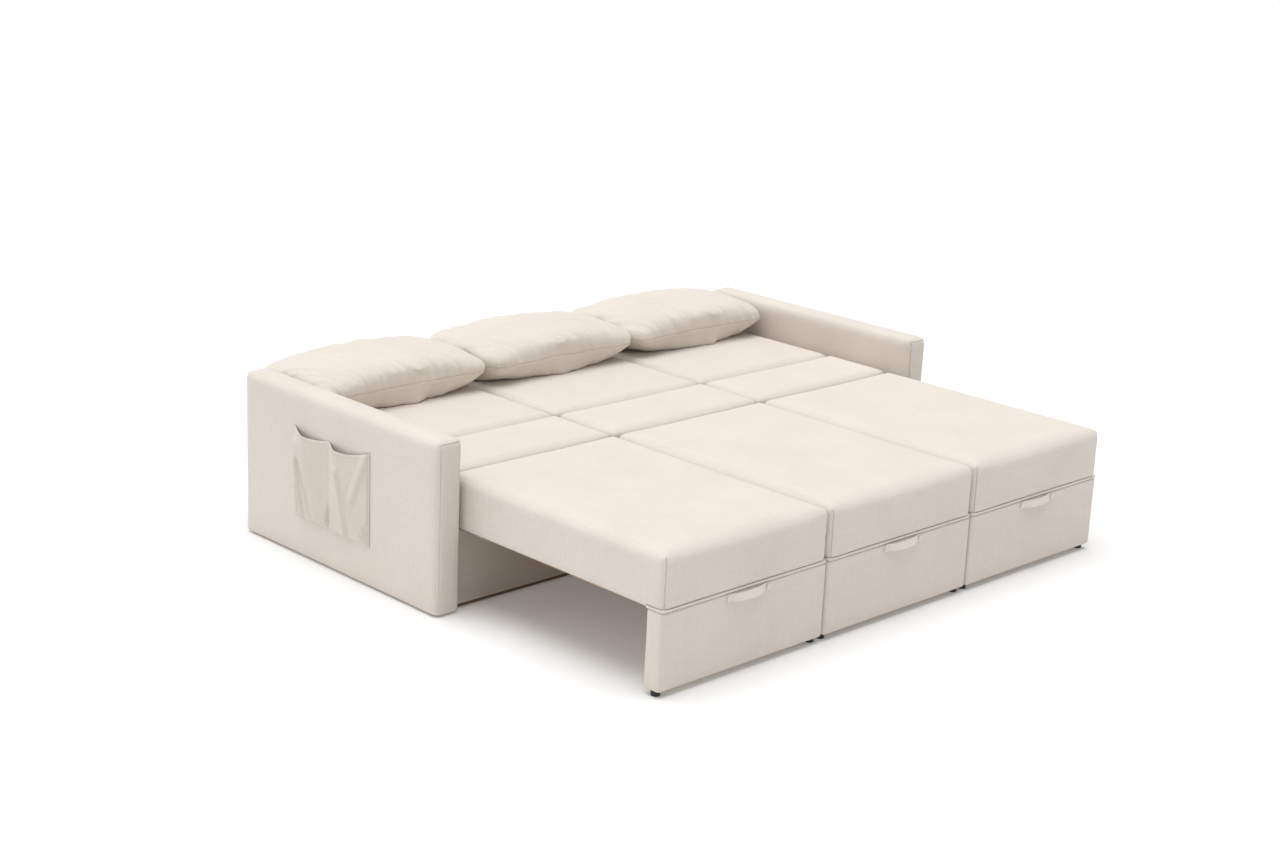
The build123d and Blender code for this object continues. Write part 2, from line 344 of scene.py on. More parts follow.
laminate = {
    "darkBandTop": 0.009, "paleEdge": 0.014,  # heights of the darker band along the lower edge and of the pale line above it
    "edgeBlur": 0.0005, "streaks": (5.0, 120.0, 120.0), "darkest": 0.3, "lightest": 0.7,
    "bumpStrength": 0.08, "bumpDepth": 0.0004,
    "dark": tone(0.475, 0.412, 0.364),
    "light": tone(0.520, 0.455, 0.402),
    "pale": tone(0.560, 0.470, 0.370),
    "darkBand": tone(0.120, 0.070, 0.040),
}


def laminated(name, bottom):
    board = Finish(name, 0.4, Specular_IOR_Level=0.4)
    blur = laminate["edgeBlur"]
    streaks = board.grain(laminate["streaks"], 3.0)
    share = board.ramp(streaks, laminate["darkest"], laminate["lightest"])
    shade = board.mix(share, laminate["dark"], laminate["light"])
    spot = board.node("ShaderNodeSeparateXYZ", {}, {"Vector": board.place((1.0, 1.0, 1.0))}, "Z")
    # bands by height: a pale line, and below it a darker band along the lower edge
    for height, below in ((laminate["paleEdge"], laminate["pale"]), (laminate["darkBandTop"], laminate["darkBand"])):
        above = board.ramp(spot, bottom + height - blur, bottom + height + blur)
        shade = board.mix(above, below, shade)
    board.feed("Base Color", shade)
    board.bump(streaks, laminate["bumpStrength"], laminate["bumpDepth"])
    return board.material


moulding = {
    "speckles": 700.0, "darkest": 0.4, "lightest": 0.7, "roughLow": 0.4, "roughRange": 0.2,
    "bumpStrength": 0.15, "bumpDepth": 0.0003,
}


def moulded(name, dark, light):
    plastic = Finish(name, 0.5)
    speckle = plastic.grain((moulding["speckles"],) * 3, 2.0)
    share = plastic.ramp(speckle, moulding["darkest"], moulding["lightest"])
    plastic.feed("Base Color", plastic.mix(share, dark, light))
    plastic.feed("Roughness", speckle * moulding["roughRange"] + moulding["roughLow"])
    plastic.bump(speckle, moulding["bumpStrength"], moulding["bumpDepth"])
    return plastic.material


plating = {
    "scratches": (900.0, 25.0, 60.0), "roughLow": 0.28, "roughRange": 0.25,
    "bumpStrength": 0.1, "bumpDepth": 0.0002,
}


def zincPlated(name, dark, light):
    steel = Finish(name, 0.4, Metallic=1.0)
    scratches = steel.grain(plating["scratches"], 2.0)
    steel.feed("Base Color", steel.mix(scratches, dark, light))
    steel.feed("Roughness", scratches * plating["roughRange"] + plating["roughLow"])
    steel.bump(scratches, plating["bumpStrength"], plating["bumpDepth"])
    return steel.material


upholsteryLinen = linen("upholsteryLinen", tone(0.640, 0.577, 0.512), tone(0.790, 0.725, 0.660))
# a lighter copy of the upholstery linen: painted light for the handle straps and buttons, whose faces tilt up
# toward the light
handleLinenPaintedLight = linen("handleLinenPaintedLight", tone(0.680, 0.615, 0.548), tone(0.830, 0.764, 0.696))
pillowLinen = linen("pillowLinen", tone(0.64, 0.58, 0.51), tone(0.79, 0.73, 0.655), 0.5)
# a darker copy of the upholstery linen: painted shade for the side pocket, whose cloth faces slightly down
pocketLinenPaintedShade = linen("pocketLinenPaintedShade", tone(0.600, 0.538, 0.472), tone(0.745, 0.680, 0.612))
rawTimber = timber("rawTimber", tone(0.46, 0.29, 0.15), tone(0.66, 0.47, 0.28))
chipboard = chips("chipboard", tone(0.30, 0.20, 0.11), tone(0.56, 0.42, 0.27))
blackPlastic = moulded("blackPlastic", tone(0.012, 0.012, 0.013), tone(0.03, 0.03, 0.032))
hingeSteel = zincPlated("hingeSteel", tone(0.42, 0.42, 0.43), tone(0.62, 0.62, 0.60))
frontLaminate = laminated("frontLaminate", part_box("front_board")[0].z)
print("finishes made")


# Soft blocks: a block is rounded, remeshed, blown up as cloth and held to small moves

def blowUp(obj, pressure, frames, caps, bending=0.5):
    rest = [v.co.copy() for v in obj.data.vertices]
    makeActive(obj)
    cloth = obj.modifiers.new("puff", "CLOTH")
    cloth.settings.use_pressure = True
    cloth.settings.uniform_pressure_force = pressure
    cloth.settings.bending_stiffness = bending
    cloth.settings.effector_weights.gravity = 0
    cloth.collision_settings.use_collision = False
    cloth.point_cache.frame_start = 1
    cloth.point_cache.frame_end = frames
    for step in range(1, frames + 1):
        scene.frame_set(step)
    bpy.ops.object.modifier_apply(modifier="puff")
    scene.frame_set(1)
    if caps:
        for vert, start in zip(obj.data.vertices, rest):
            moved = vert.co - start
            held = [cap * math.tanh(m / cap) for m, cap in zip(moved, caps)]
            vert.co = start + Vector(held)
    obj.data.update()


rounding = {"edgeSteps": 6, "cornerSteps": 5, "near": 0.001, "evenFactor": 0.5, "evenSteps": 3}


def softBlock(name, low, high, sizes):
    caps = Vector(sizes["caps"])
    inner = Vector((caps.x, caps.y, 0))
    block = addBlock(name, low + inner, high - caps)
    bottom = low.z
    near = rounding["near"]
    roundEdges(
        block,
        lambda middle, way: middle.z > bottom + near and abs(way.z) < 0.5,
        sizes["edge"], rounding["edgeSteps"],
    )
    roundEdges(
        block,
        lambda middle, way: abs(way.z) > 0.9 and abs(middle.z - bottom) > near,
        sizes["corner"], rounding["cornerSteps"],
    )
    applyModifier(block, "grid", "REMESH", mode="VOXEL", voxel_size=sizes["voxel"])
    blowUp(block, sizes["pressure"], sizes["frames"], sizes["caps"])
    applyModifier(
        block, "even", "SMOOTH", factor=rounding["evenFactor"], iterations=rounding["evenSteps"]
    )
    reshape(block, lambda p: Vector((p.x, p.y, max(p.z, bottom))))
    return block


def ripple(obj, seed, amount, length):  # the slight unevenness of stretched cloth
    start = Vector((seed * 7.1, seed * 3.7, seed * 1.9))
    places = []
    for vert in obj.data.vertices:
        swell = noise.noise(vert.co / length + start) + 0.4 * noise.noise(vert.co * 2.7 / length - start)
        places.append(vert.co + vert.normal * amount * swell)
    setPlaces(obj, places)


def sewSeam(obj, point, way, test, depth, width):  # three cuts, the middle one drawn in
    for shift in (-width, width, 0.0):
        with editing(obj):
            pick(obj, "FACE", test)
            bpy.ops.mesh.bisect(plane_co=point + way * shift, plane_no=way)
    drawn = [
        (v, v.co - v.normal * depth) for v in obj.data.vertices
        if abs((v.co - point).dot(way)) < 2e-5 and test(v.co, v.normal)
    ]
    for vert, place in drawn:
        vert.co = place
    obj.data.update()


seat = {
    "edge": 0.024, "corner": 0.016, "voxel": 0.008,
    "pressure": 0.6, "frames": 14, "caps": (0.0015, 0.0015, 0.006),
    "swing": 0.0941,  # radius left free round the hinge, where the back turns
    "seamInset": 0.011, "seamDepth": 0.0032, "seamWidth": 0.0026, "frontDepth": 0.012, "seamStop": 0.016,
    "frameGap": 0.0055, "weltRoom": 0.1,  # room cut out round the welt, as a share of the seat above it
    "tuck": 0.0008, "tuckHeight": 0.005,  # the cloth turns under at the lower edge
    "tuckSide": 0.9, "tuckFront": 0.95,  # where that starts, as a share of the half width and half length
    "ripple": (0.0009, 0.16), "seed": 0,  # height and length of the unevenness
}


def makeSeats():
    low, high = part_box("left_seat_cushion")
    frameLow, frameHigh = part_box("left_seat_frame")
    weltLow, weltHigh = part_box("left_welt")
    middle = (low + high) / 2
    half = (high - low) / 2
    first = softBlock("left_seat_cover", low, high, seat)
    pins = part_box("left_hinge_pins")
    hinge = (pins[0] + pins[1]) / 2

    def relieve(p):  # the rear end is hollowed round the hinge
        away = Vector((0, p.y - hinge.y, p.z - hinge.z))
        if 1e-6 < away.length < seat["swing"]:
            return Vector((p.x, hinge.y, hinge.z)) + away.normalized() * seat["swing"]
        return p

    def tuckUnder(p):
        bottom = weltHigh.z if p.y < weltHigh.y else low.z
        share = 1 - (p.z - bottom) / seat["tuckHeight"]
        if share <= 0:
            return p
        pull = seat["tuck"] * min(1.0, share) ** 2
        sideShare = abs(p.x - middle.x) / half.x
        frontShare = (middle.y - p.y) / half.y
        across = pull * smoothStep((sideShare - seat["tuckSide"]) / (1 - seat["tuckSide"]))
        along = pull * smoothStep((frontShare - seat["tuckFront"]) / (1 - seat["tuckFront"]))
        return Vector((p.x - math.copysign(across, p.x - middle.x), p.y + along, p.z))

    reshape(first, relieve)
    reshape(first, tuckUnder)
    for side in (-1, 1):
        sewSeam(
            first,
            Vector((middle.x + side * (half.x - seat["seamInset"]), 0, 0)),
            Vector((1, 0, 0)),
            lambda p, n: p.y < low.y + seat["frontDepth"] and p.z < high.z - seat["seamStop"],
            seat["seamDepth"], seat["seamWidth"],
        )
    gap = Vector((seat["frameGap"], 0, 0))
    cutBlock(first, frameLow - gap, frameHigh + gap)
    reach = Vector((high.z - low.z, 0, 0))
    room = (high - weltHigh).length * Vector((0, seat["weltRoom"], seat["weltRoom"]))
    cutBlock(first, weltLow - reach - room, weltHigh + reach)
    for count, made in enumerate(copyToUnits(first, "seat_cushion", "seat_cover")):
        unit = units[count]
        ripple(made, seat["seed"] + count, *seat["ripple"])
        shadeSmooth(made, 50)
        placePiece(made, unit + "_seat", upholsteryLinen, "upholstery_linen", unit + "_seat_cushion")
    print("seats made")


pad = {
    "edge": 0.022, "corner": 0.014, "voxel": 0.007,
    "pressure": 0.6, "frames": 14, "caps": (0.0015, 0.0015, 0.006),
    "ripple": (0.0008, 0.14), "seed": 3,
}


def makePads():
    for label in ("bridge_pad", "back_pad"):
        low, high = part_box("left_" + label)
        first = softBlock("left_" + label + "_cover", low, high, pad)
        for count, made in enumerate(copyToUnits(first, label, label + "_cover")):
            unit = units[count]
            ripple(made, pad["seed"] + count, *pad["ripple"])
            shadeSmooth(made, 50)
            placePiece(made, unit + "_back", upholsteryLinen, "upholstery_linen", unit + "_" + label)
    print("bridge pads and back pads made")


arm = {
    "edge": 0.021, "corner": 0.017, "voxel": 0.009,
    "pressure": 0.4, "frames": 10, "caps": (0.0025, 0.0015, 0.002),
    "seamInset": 0.013, "seamDepth": 0.0030, "seamWidth": 0.0026, "frontDepth": 0.010, "cavityGap": 0.001,
    "ripple": (0.0007, 0.2), "seed": 9,
}


def makeArms():
    low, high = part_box("left_arm_cover")
    frameLow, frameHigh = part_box("left_arm_frame")
    gap = Vector((arm["cavityGap"],) * 3)
    first = softBlock("left_arm_upholstery", low, high, arm)

    def isFront(p, n):
        return p.y < low.y + arm["frontDepth"]

    for x in (low.x + arm["seamInset"], high.x - arm["seamInset"]):
        sewSeam(first, Vector((x, 0, 0)), Vector((1, 0, 0)),
                lambda p, n: isFront(p, n) and p.z < high.z - arm["seamInset"],
                arm["seamDepth"], arm["seamWidth"])
    sewSeam(first, Vector((0, 0, high.z - arm["seamInset"])), Vector((0, 0, 1)),
            lambda p, n: isFront(p, n) and low.x + arm["seamInset"] < p.x < high.x - arm["seamInset"],
            arm["seamDepth"], arm["seamWidth"])
    cutBlock(first, frameLow - gap, frameHigh + gap)
    second = copyPiece(first, "right_arm_upholstery", Vector())
    second.data.transform(Matrix.Scale(-1, 4, Vector((1, 0, 0))))
    turnInsideOut(second)
    for count, (side, made) in enumerate((("left", first), ("right", second))):
        ripple(made, arm["seed"] + count, *arm["ripple"])
        shadeSmooth(made, 50)
        placePiece(made, "base", upholsteryLinen, "upholstery_linen", side + "_arm_cover")
    print("arms made")


panel = {
    "edge": 0.011, "lowEdge": 0.003, "near": 0.0005, "voxel": 0.0048, "slotGap": 0.001,
    "swell": 0.0016, "swellTurn": 6, "drawnIn": 0.0005,  # the faces swell from a little inside
    "ripple": (0.0005, 0.12), "seed": 20,
}


def makePanels():
    for count, unit in enumerate(units):
        low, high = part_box(unit + "_front_panel_cover")
        coreLow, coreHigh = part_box(unit + "_front_panel_core")
        made = addBlock(unit + "_panel_cover", low, high)
        with editing(made):
            pick(made, "EDGE", lambda middle, way: abs(way.z) > 0.9)
            bpy.ops.mesh.bevel(offset=panel["edge"], segments=5, affect="EDGES")
            pick(made, "EDGE", lambda middle, way: middle.z < low.z + panel["near"] and abs(way.z) < 0.1)
            bpy.ops.mesh.bevel(offset=panel["lowEdge"], segments=3, affect="EDGES")
        applyModifier(made, "grid", "REMESH", mode="VOXEL", voxel_size=panel["voxel"])
        middle = (low + high) / 2
        half = (high - low) / 2

        def swell(p):  # the padding stands fullest in the middle of the front and back faces
            across = max(0.0, 1 - ((p.x - middle.x) / half.x) ** panel["swellTurn"])
            upright = max(0.0, 1 - ((p.z - middle.z) / half.z) ** panel["swellTurn"])
            side = (p.y - middle.y) / half.y
            return p + Vector((0, panel["swell"] * across * upright * side - panel["drawnIn"] * side, 0))

        reshape(made, swell)
        gap = Vector((panel["slotGap"],) * 3)
        cutBlock(made, coreLow - gap, coreHigh + gap)
        ripple(made, panel["seed"] + count, *panel["ripple"])
        shadeSmooth(made, 50)
        placePiece(made, unit + "_seat", upholsteryLinen, "upholstery_linen", unit + "_front_panel_cover")
    print("front panels made")


welt = {
    "corner": 0.011, "proud": 0.0002,
    "shadowLine": 0.0032, "shadowDepth": 0.0070,  # the gap under the seat
    "seamLine": 0.0018, "seamDepth": 0.0024,  # the fine line above the panel
    "step": 0.0003, "near": 0.0005, "cornerShare": 0.7, "roll": 0.0011,
}


def makeWelts():
    for unit in units:
        low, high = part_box(unit + "_welt")
        panelLow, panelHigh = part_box(unit + "_front_panel_cover")
        middle = (panelLow + panelHigh) / 2
        proud = Vector((welt["proud"], welt["proud"], 0))
        bandLow = Vector((panelLow.x, panelLow.y, low.z)) - proud
        bandHigh = Vector((panelHigh.x, high.y, high.z)) + Vector((welt["proud"], 0, 0))
        lines = (high.z - welt["shadowLine"], low.z + welt["seamLine"])
        made = addBlock(unit + "_welt_band", bandLow, bandHigh)
        with editing(made):
            pick(made, "EDGE", lambda centre, way: abs(way.z) > 0.9 and centre.y < middle.y)
            bpy.ops.mesh.bevel(offset=welt["corner"], segments=6, affect="EDGES")
            for line in lines:
                for shift in (-welt["step"], welt["step"]):
                    bpy.ops.mesh.select_all(action="SELECT")
                    bpy.ops.mesh.bisect(plane_co=(0, 0, line + shift), plane_no=(0, 0, 1))

        def drawIn(p):  # the top of the band is drawn in under the seat, and its foot above the panel
            depth = 0.0
            if p.z > lines[0]:
                depth = welt["shadowDepth"]
            elif p.z < lines[1]:
                depth = welt["seamDepth"]
            side = math.copysign(1, p.x - middle.x)
            if p.y > high.y - welt["near"]:
                return Vector((p.x - depth * side, p.y, p.z))
            onEnd = abs(p.x - middle.x) > bandHigh.x - middle.x - welt["near"]
            onFront = p.y < bandLow.y + welt["near"]
            inward = Vector((-side if onEnd else 0, 1 if onFront else 0, 0))
            if not onEnd and not onFront:  # round the corner
                inward = Vector((-side, 1, 0)) * welt["cornerShare"]
            return p + inward * depth

        reshape(made, drawIn)
        roundEdges(
            made,
            lambda centre, way: (
                lines[1] < centre.z < lines[0] and abs(way.z) < 0.1 and centre.y < high.y - 2 * welt["near"]
            ),
            welt["roll"], 3,
        )
        shadeSmooth(made, 40)
        placePiece(made, unit + "_seat", upholsteryLinen, "welt_linen", unit + "_welt")
    print("welts made")


handle = {
    "thickness": 0.0030, "flat": 0.011, "margin": 0.0015, "sag": 0.0010,
    "bow": 0.0160, "bowTurn": 0.6, "lean": 0.55,  # lean is how much of the bow the upper edge lacks
    "cells": (96, 10), "endWidth": 0.05, "edge": 0.0009,
    "buttonSides": 40, "buttonDome": 0.0024, "buttonRim": 0.0012, "buttonNeck": 0.50,
}


def makeHandles():
    for unit in units:
        low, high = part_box(unit + "_handle_strap")
        buttonLow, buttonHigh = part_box(unit + "_handle_buttons")
        middle = (low + high) / 2
        radius = (buttonHigh.z - buttonLow.z) / 2
        span = (buttonHigh.x - buttonLow.x) / 2 - radius
        turn = (high.z - low.z) / 2  # each end is turned round its button
        length = 2 * (span + radius + handle["margin"])
        free = span - handle["flat"]
        strap = addGrid(unit + "_handle", handle["cells"], 1)

        def drape(p):  # flat under the buttons, bowed out between them, most at the lower edge
            x = p.x * length
            past = max(0.0, abs(x) - span) / (radius + handle["margin"])
            share = max(0.0, 1 - (x / free) ** 2)
            out = handle["bow"] * smoothStep(share) ** handle["bowTurn"] * (1 - handle["lean"] * (0.5 + p.y))
            width = 2 * turn * math.sqrt(max(handle["endWidth"], 1 - past ** 2))
            return Vector((
                middle.x + x,
                high.y - handle["thickness"] / 2 - out,
                middle.z + p.y * width - handle["sag"] * share,
            ))

        reshape(strap, drape)
        applyModifier(strap, "body", "SOLIDIFY", thickness=handle["thickness"], offset=0.0)
        applyModifier(strap, "edges", "BEVEL", width=handle["edge"], segments=2, limit_method="ANGLE")
        faceOutwards(strap)
        shadeSmooth(strap, 50)
        # the strap takes the lighter copy of the linen, which is painted light
        placePiece(strap, unit + "_seat", handleLinenPaintedLight, "handle_linen", unit + "_handle_strap")
        makeButtons(unit)
    print("handles made")


def makeButtons(unit):
    low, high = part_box(unit + "_handle_buttons")
    radius = (high.z - low.z) / 2
    tall = high.y - low.y
    neck = handle["buttonNeck"]
    buttons = []
    for x in (low.x + radius, high.x - radius):
        deselectAll()
        bpy.ops.mesh.primitive_cylinder_add(
            vertices=handle["buttonSides"], radius=radius, depth=tall, rotation=(math.pi / 2, 0, 0),
            location=(x, (low.y + high.y) / 2, (low.z + high.z) / 2),
        )
        button = bpy.context.object
        applyPlace(button)
        with editing(button):
            pick(button, "FACE", lambda p, n: n.y < -0.9)
            bpy.ops.mesh.bevel(offset=handle["buttonDome"], segments=5, affect="EDGES")
            pick(button, "FACE", lambda p, n: n.y < -0.99)
            bpy.ops.mesh.inset(thickness=handle["buttonRim"] * 2)
            bpy.ops.transform.translate(value=(0, -handle["buttonRim"] / 2, 0))
            pick(button, "FACE", lambda p, n: n.y > 0.9)
            bpy.ops.transform.resize(
                value=(neck, 1, neck), center_override=(x, high.y, (low.z + high.z) / 2)
            )
        buttons.append(button)
    made = joinPieces(buttons, unit + "_covered_buttons")
    shadeSmooth(made, 50)
    placePiece(made, unit + "_seat", handleLinenPaintedLight, "button_linen", unit + "_handle_buttons")


foot = {"sides": 32, "edge": 0.0011, "inset": 0.004, "hollow": 0.0012, "apart": 0.06, "near": 0.0003}


def makeFeet(name, node, body):
    made = []
    low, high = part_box(node)
    height = high.z - low.z
    places = sorted({(round(v.co.x, 3), round(v.co.y, 3)) for v in nodes[node].data.vertices})
    groups = []
    for x, y in places:  # the node's posts, each gathered from its own points
        near = [g for g in groups if math.hypot(g[0][0] - x, g[0][1] - y) < foot["apart"]]
        if near:
            near[0].append((x, y))
        else:
            groups.append([(x, y)])
    for group in groups:
        xs = [p[0] for p in group]
        ys = [p[1] for p in group]
        radius = (max(xs) - min(xs)) / 2
        deselectAll()
        bpy.ops.mesh.primitive_cylinder_add(
            vertices=foot["sides"], radius=radius, depth=height,
            location=((max(xs) + min(xs)) / 2, (max(ys) + min(ys)) / 2, (low.z + high.z) / 2),
        )
        post = bpy.context.object
        applyPlace(post)
        with editing(post):
            pick(post, "FACE", lambda p, n: n.z < -0.9)
            bpy.ops.mesh.inset(thickness=foot["inset"])
            bpy.ops.transform.translate(value=(0, 0, foot["hollow"]))
            pick(post, "EDGE", lambda p, way: p.z < low.z + foot["near"] and abs(way.z) < 0.1)
            bpy.ops.mesh.bevel(offset=foot["edge"], segments=3, affect="EDGES")
        made.append(post)
    joined = joinPieces(made, name)
    shadeSmooth(joined, 40)
    placePiece(joined, body, blackPlastic, "black_plastic", node)


pocket = {
    "cells": (184, 114), "thickness": 0.0016, "seam": 0.392,
    "lift": 0.0022,  # cloth above the arm along its sewn edges
    "lowBow": 0.0080, "archTurn": 7.0, "foldEnd": 0.15, "sewn": 0.004, "seamDip": 0.012, "dipTurn": 5,
    "roll": 0.0020, "rollHeight": 0.0040,  # the hemmed mouth turns in
    "hem": 0.017, "hemDepth": 0.0010, "hemWidth": 0.0022,
}
# across each bag, the cloth climbs steeply to its peak and falls gently after it
# folds: from, to (across and up the bag), steep side, gentle side and height in metres
rearBag = {
    "bow": 0.0200, "peakLow": 0.62, "peakTop": 0.32, "dip": 0.0165, "dipSkew": 0.82,
    "folds": (
        ((-0.06, 0.97), (1.06, -0.02), 0.012, 0.050, 0.0130),
        ((0.02, 0.78), (0.60, -0.04), 0.016, 0.010, -0.0060),
        ((-0.02, 0.70), (0.30, -0.05), 0.009, 0.016, 0.0105),
        ((0.00, 0.46), (0.09, 0.00), 0.004, 0.009, 0.0050),
    ),
}
frontBag = {
    "bow": 0.0210, "peakLow": 0.34, "peakTop": 0.22, "dip": 0.0195, "dipSkew": 0.88,
    "folds": (
        ((0.24, 0.80), (0.48, -0.05), 0.026, 0.018, 0.0085),
        ((0.56, 0.34), (0.98, 1.04), 0.018, 0.030, 0.0065),
        ((0.955, 1.20), (0.955, -0.20), 0.0050, 0.0050, 0.0060),
        ((0.74, 0.13), (0.95, 0.00), 0.005, 0.006, 0.0060),
        ((0.84, 0.22), (0.92, 0.04), 0.004, 0.005, 0.0050),
    ),
}


def makePocket():
    low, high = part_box("side_pocket")
    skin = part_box("left_arm_cover")[0].x
    tall = high.z - low.z
    made = addGrid("side_pocket_cloth", pocket["cells"], 1)

    def foldAt(spot, start, end, steep, gentle, height):  # the cloth's rise beside one fold
        along = end - start
        share = (spot - start).dot(along) / along.length_squared
        ends = smoothStep(share / pocket["foldEnd"]) * smoothStep((1 - share) / pocket["foldEnd"])
        off = along.normalized().cross(spot - start)
        side = 1 + off / steep if off < 0 else 1 - off / gentle
        return height * ends * smoothStep(side)

    def hang(p):
        y = high.y - (p.x + 0.5) * (high.y - low.y)  # from the rear edge to the front edge
        v = p.y + 0.5
        inRear = y > pocket["seam"]
        bag = rearBag if inRear else frontBag
        left, right = (high.y, pocket["seam"]) if inRear else (pocket["seam"], low.y)
        wide = left - right
        u = min(1.0, max(0.0, (left - y) / wide))
        peak = bag["peakLow"] + (bag["peakTop"] - bag["peakLow"]) * v
        climb = u / peak
        fall = (1 - u) / (1 - peak)
        turn = pocket["archTurn"]
        arch = -math.log(math.exp(-turn * climb) + math.exp(-turn * fall)) / turn
        sewnDip = pocket["seamDip"] * (u if inRear else 1 - u)
        dip = (bag["dip"] * math.sin(math.pi * u ** bag["dipSkew"]) + sewnDip) * v ** pocket["dipTurn"]
        out = max(0.0, arch) * (pocket["lowBow"] + (bag["bow"] - pocket["lowBow"]) * v)
        spot = Vector((u * wide, v * tall))
        for start, end, *sizes in bag["folds"]:
            ends = [Vector((x * wide, z * tall)) for x, z in (start, end)]
            out += foldAt(spot, *ends, *sizes)
        below = (1 - v) * tall
        out -= pocket["hemDepth"] * math.exp(-(((below - pocket["hem"]) / pocket["hemWidth"]) ** 2))
        out -= pocket["roll"] * smoothStep(1 - below / pocket["rollHeight"])
        edge = min(u * wide, (1 - u) * wide, v * tall)
        out = max(0.0, out) * smoothStep(edge / pocket["sewn"])
        return Vector((skin - pocket["lift"] - out, y, low.z + v * tall - dip))

    reshape(made, hang)
    faceOutwards(made)
    if sum(f.normal.x for f in made.data.polygons) > 0:
        turnInsideOut(made)
    applyModifier(made, "cloth", "SOLIDIFY", thickness=pocket["thickness"], offset=-1.0)
    shadeSmooth(made, 60)
    # the pocket takes the darker copy of the linen, which is painted shade
    placePiece(made, "base", pocketLinenPaintedShade, "pocket_linen", "side_pocket")
    print("side pocket made")


rear = {"edge": 0.006, "columns": 24, "rows": 6, "ripple": (0.0006, 0.2), "seed": 31}


def makeRearBoard():
    low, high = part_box("rear_board")
    made = addBlock("rear_board_cover", low, high)
    roundEdges(made, lambda p, way: True, rear["edge"], 4)
    with editing(made):
        for way, parts in ((Vector((1, 0, 0)), rear["columns"]), (Vector((0, 0, 1)), rear["rows"])):
            for step in range(1, parts):
                bpy.ops.mesh.select_all(action="SELECT")
                bpy.ops.mesh.bisect(plane_co=low + (high - low) * step / parts, plane_no=way)
    ripple(made, rear["seed"], *rear["ripple"])
    shadeSmooth(made, 40)
    placePiece(made, "base", upholsteryLinen, "rear_linen", "rear_board")
    print("rear board made")


pillow = {
    "cut": Vector((0.70, 0.44, 0)), "cells": (108, 66), "weld": 0.0002,
    "cornerTurn": 6.0,  # a higher power leaves squarer corners
    "lip": 0.004, "crown": 0.010, "crumple": 0.003, "crumpleLength": 0.055,
    "pressure": 4.0, "frames": 22, "bending": 10.0, "smoothing": 26,
    "longSide": {"along": 0, "across": 1, "reach": 0.27, "waist": 0.010},  # how far each side is drawn in
    "shortSide": {"along": 1, "across": 0, "reach": 0.13, "waist": 0.005},
    "evenShare": 0.75, "evenRise": 0.4,  # how far the top is drawn to an even crown
    "crownTurn": 2.3, "crownPower": 0.55,
    "fullness": 0.65,  # how far its edges are filled out to a round
    "seamHeight": 0.060, "flatShare": 0.62, "flatTurn": 0.8,
    "seamWidth": 0.0024, "seamDepth": 0.0024,
}
gather = {  # the wrinkles that run back from the sewn edge
    "height": 0.0075, "wide": 0.027, "long": 0.16, "slant": 0.45,
    "finer": 1.9, "finerShare": 0.5,
    "clear": 0.018, "middleShare": 0.40, "fade": 0.32, "lowShare": 0.40,
}


